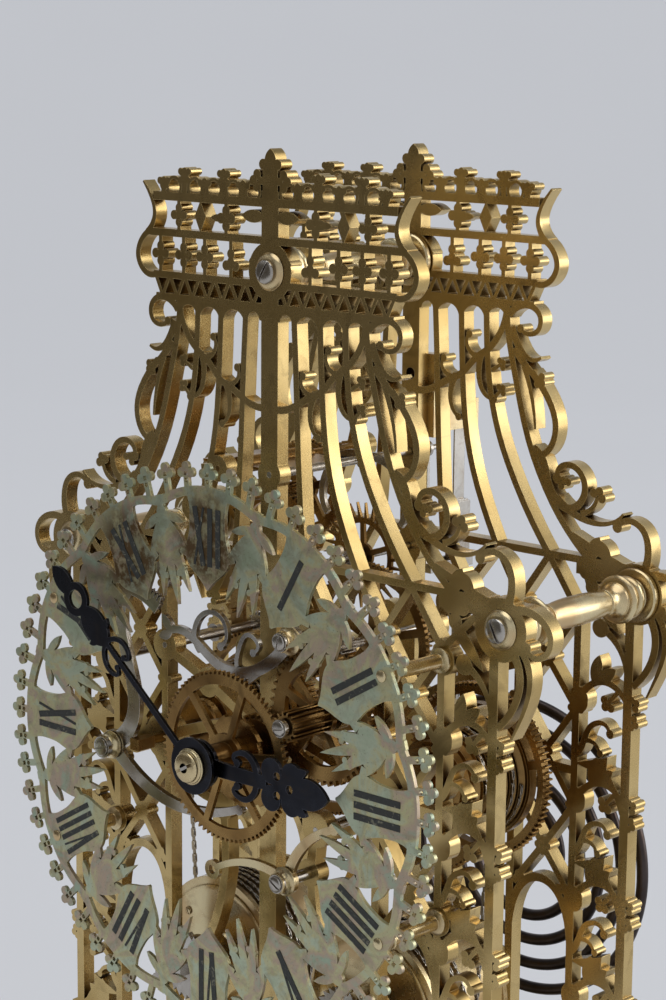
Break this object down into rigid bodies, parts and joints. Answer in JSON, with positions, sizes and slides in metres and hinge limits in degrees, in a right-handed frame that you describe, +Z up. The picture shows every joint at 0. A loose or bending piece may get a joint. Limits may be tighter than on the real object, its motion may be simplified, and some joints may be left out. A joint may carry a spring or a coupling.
{
  "type": "skeleton clock",
  "caption": "Gothic fretted-frame skeleton clock: pierced dial, blued hands, fusee going and striking trains, half-second pendulum, hammer and coiled gong on a plinth.",
  "frame": {"origin": "middle of the underside of the base plinth, where the clock stands", "axes": "+Z up, -Y towards the dial side, +X to the right seen from the front"},
  "size_m": [0.264, 0.176, 0.4042],
  "materials": {
    "brass_frame": "satin, aged",
    "brass_bright": "polished",
    "brass_wheels": "aged bronze tone",
    "silvered": "silvered, lightly tarnished",
    "dark_wax": "matt filling",
    "blued_steel": "blued",
    "polished_steel": "polished",
    "dark_steel": "browned",
    "ebonised_wood": "ebonised, French polished"
  },
  "bodies": {
    "frame": {"base_plinth": "ebonised_wood", "frame_feet": "brass_bright", "front_plate": "brass_frame", "back_plate": "brass_frame", "pillar_top": "brass_bright", "upper_pillars": "brass_bright", "lower_pillars": "brass_bright", "frame_washers": "brass_bright", "frame_screws": "polished_steel", "dial_ring": "silvered", "dial_numerals": "dark_wax", "dial_posts": "brass_bright", "lever_studs": "polished_steel", "barrel_arbors": "polished_steel", "setup_ratchets": "polished_steel", "setup_clicks": "polished_steel", "fusee_chains": "polished_steel", "back_cock": "brass_bright", "gong": "dark_steel", "gong_standard": "brass_bright"},
    "centre": {"centre_arbor": "polished_steel", "centre_wheel": "brass_wheels", "cannon_pinion": "brass_wheels", "minute_hand": "blued_steel", "hand_nut": "brass_bright"},
    "hour": {"hour_wheel": "brass_wheels", "hour_snail": "brass_wheels", "hour_hand": "blued_steel"},
    "minute": {"minute_wheel": "brass_wheels"},
    "great_going": {"great_wheel_going": "brass_wheels", "fusee_going": "brass_wheels"},
    "barrel_going": {"barrel_going": "brass_bright"},
    "intermediate": {"intermediate_arbor": "polished_steel", "intermediate_wheel": "brass_wheels"},
    "third": {"third_arbor": "polished_steel", "third_wheel": "brass_wheels"},
    "escape": {"escape_arbor": "polished_steel", "escape_wheel": "brass_wheels"},
    "pallets": {"pallets": "polished_steel", "pallet_arbor": "polished_steel", "crutch": "polished_steel"},
    "pendulum": {"suspension_spring": "polished_steel", "pendulum_rod": "polished_steel", "pendulum_bob": "brass_bright", "rating_nut": "brass_bright"},
    "great_strike": {"great_wheel_strike": "brass_wheels", "fusee_strike": "brass_wheels"},
    "barrel_strike": {"barrel_strike": "brass_bright"},
    "pin": {"pin_wheel_arbor": "polished_steel", "pin_wheel": "brass_wheels"},
    "gathering": {"gathering_arbor": "polished_steel", "gathering_wheel": "brass_wheels", "gathering_pallet": "polished_steel"},
    "warning": {"warning_wheel": "brass_wheels"},
    "fly": {"fly": "brass_wheels"},
    "rack": {"rack": "polished_steel"},
    "rack_hook": {"rack_hook": "polished_steel"},
    "lifting_piece": {"lifting_piece": "brass_bright"},
    "hammer": {"hammer_arbor": "polished_steel", "hammer": "brass_bright"}
  },
  "joints": [
    {"name": "centre_spin", "type": "hinge", "parent": "frame", "child": "centre", "pos_m": [0, -0.03325, 0.228], "axis": [0, 1, 0], "continuous": true},
    {"name": "hour_spin", "type": "hinge", "parent": "frame", "child": "hour", "pos_m": [0, -0.03325, 0.228], "axis": [0, 1, 0], "continuous": true},
    {"name": "minute_wheel_spin", "type": "hinge", "parent": "frame", "child": "minute", "pos_m": [0.02582, -0.03325, 0.24231], "axis": [0, 1, 0], "continuous": true},
    {"name": "going_fusee_spin", "type": "hinge", "parent": "frame", "child": "great_going", "pos_m": [0.046, -0.03325, 0.221], "axis": [0, 1, 0], "continuous": true},
    {"name": "going_barrel_spin", "type": "hinge", "parent": "frame", "child": "barrel_going", "pos_m": [0.033, -0.03325, 0.15], "axis": [0, 1, 0], "continuous": true},
    {"name": "intermediate_spin", "type": "hinge", "parent": "frame", "child": "intermediate", "pos_m": [0.01971, -0.03325, 0.20578], "axis": [0, 1, 0], "continuous": true},
    {"name": "third_spin", "type": "hinge", "parent": "frame", "child": "third", "pos_m": [0.00815, -0.03325, 0.25542], "axis": [0, 1, 0], "continuous": true},
    {"name": "escape_spin", "type": "hinge", "parent": "frame", "child": "escape", "pos_m": [0, -0.03325, 0.2796], "axis": [0, 1, 0], "continuous": true},
    {"name": "pin_wheel_spin", "type": "hinge", "parent": "frame", "child": "pin", "pos_m": [-0.04496, -0.03325, 0.25074], "axis": [0, 1, 0], "continuous": true},
    {"name": "strike_fusee_spin", "type": "hinge", "parent": "frame", "child": "great_strike", "pos_m": [-0.046, -0.03325, 0.221], "axis": [0, 1, 0], "continuous": true},
    {"name": "strike_barrel_spin", "type": "hinge", "parent": "frame", "child": "barrel_strike", "pos_m": [-0.033, -0.03325, 0.15], "axis": [0, 1, 0], "continuous": true},
    {"name": "gathering_spin", "type": "hinge", "parent": "frame", "child": "gathering", "pos_m": [-0.04046, -0.03325, 0.27627], "axis": [0, 1, 0], "continuous": true},
    {"name": "warning_spin", "type": "hinge", "parent": "frame", "child": "warning", "pos_m": [-0.03264, -0.03325, 0.29563], "axis": [0, 1, 0], "continuous": true},
    {"name": "fly_spin", "type": "hinge", "parent": "frame", "child": "fly", "pos_m": [-0.02153, -0.03325, 0.30886], "axis": [0, 1, 0], "continuous": true},
    {"name": "pendulum_swing", "type": "hinge", "parent": "frame", "child": "pendulum", "pos_m": [0, -0.03325, 0.3096], "axis": [0, 1, 0], "range_deg": [-1.5, 1.5]},
    {"name": "pallet_rock", "type": "hinge", "parent": "frame", "child": "pallets", "pos_m": [0, -0.03325, 0.3096], "axis": [0, 1, 0], "range_deg": [-1.5, 1.5]},
    {"name": "rack_drop", "type": "hinge", "parent": "frame", "child": "rack", "pos_m": [-0.059, -0.03325, 0.218], "axis": [0, -1, 0], "range_deg": [0, 12]},
    {"name": "rack_hook_lift", "type": "hinge", "parent": "frame", "child": "rack_hook", "pos_m": [0.016, -0.03325, 0.264], "axis": [0, 1, 0], "range_deg": [0, 6]},
    {"name": "lifting_piece_lift", "type": "hinge", "parent": "frame", "child": "lifting_piece", "pos_m": [0.017, -0.03325, 0.192], "axis": [0, -1, 0], "range_deg": [0, 8]},
    {"name": "hammer_lift", "type": "hinge", "parent": "frame", "child": "hammer", "pos_m": [-0.072, -0.03325, 0.242], "axis": [0, 1, 0], "range_deg": [0, 12], "stiffness_Nm_per_rad": 0.02, "springref_deg": -17.19}
  ],
  "couplings": [
    {"joint": "hour_spin", "follows": "centre_spin", "ratio": 0.083333},
    {"joint": "minute_wheel_spin", "follows": "centre_spin", "ratio": -0.5},
    {"joint": "intermediate_spin", "follows": "centre_spin", "ratio": -0.25},
    {"joint": "going_fusee_spin", "follows": "centre_spin", "ratio": 0.041667},
    {"joint": "going_barrel_spin", "follows": "centre_spin", "ratio": 0.025},
    {"joint": "third_spin", "follows": "centre_spin", "ratio": -12},
    {"joint": "escape_spin", "follows": "centre_spin", "ratio": 120},
    {"joint": "strike_fusee_spin", "follows": "pin_wheel_spin", "ratio": -0.14286},
    {"joint": "strike_barrel_spin", "follows": "pin_wheel_spin", "ratio": -0.085714},
    {"joint": "gathering_spin", "follows": "pin_wheel_spin", "ratio": -8},
    {"joint": "warning_spin", "follows": "pin_wheel_spin", "ratio": 64},
    {"joint": "fly_spin", "follows": "pin_wheel_spin", "ratio": -448},
    {"joint": "pallet_rock", "follows": "pendulum_swing", "ratio": 1}
  ]
}
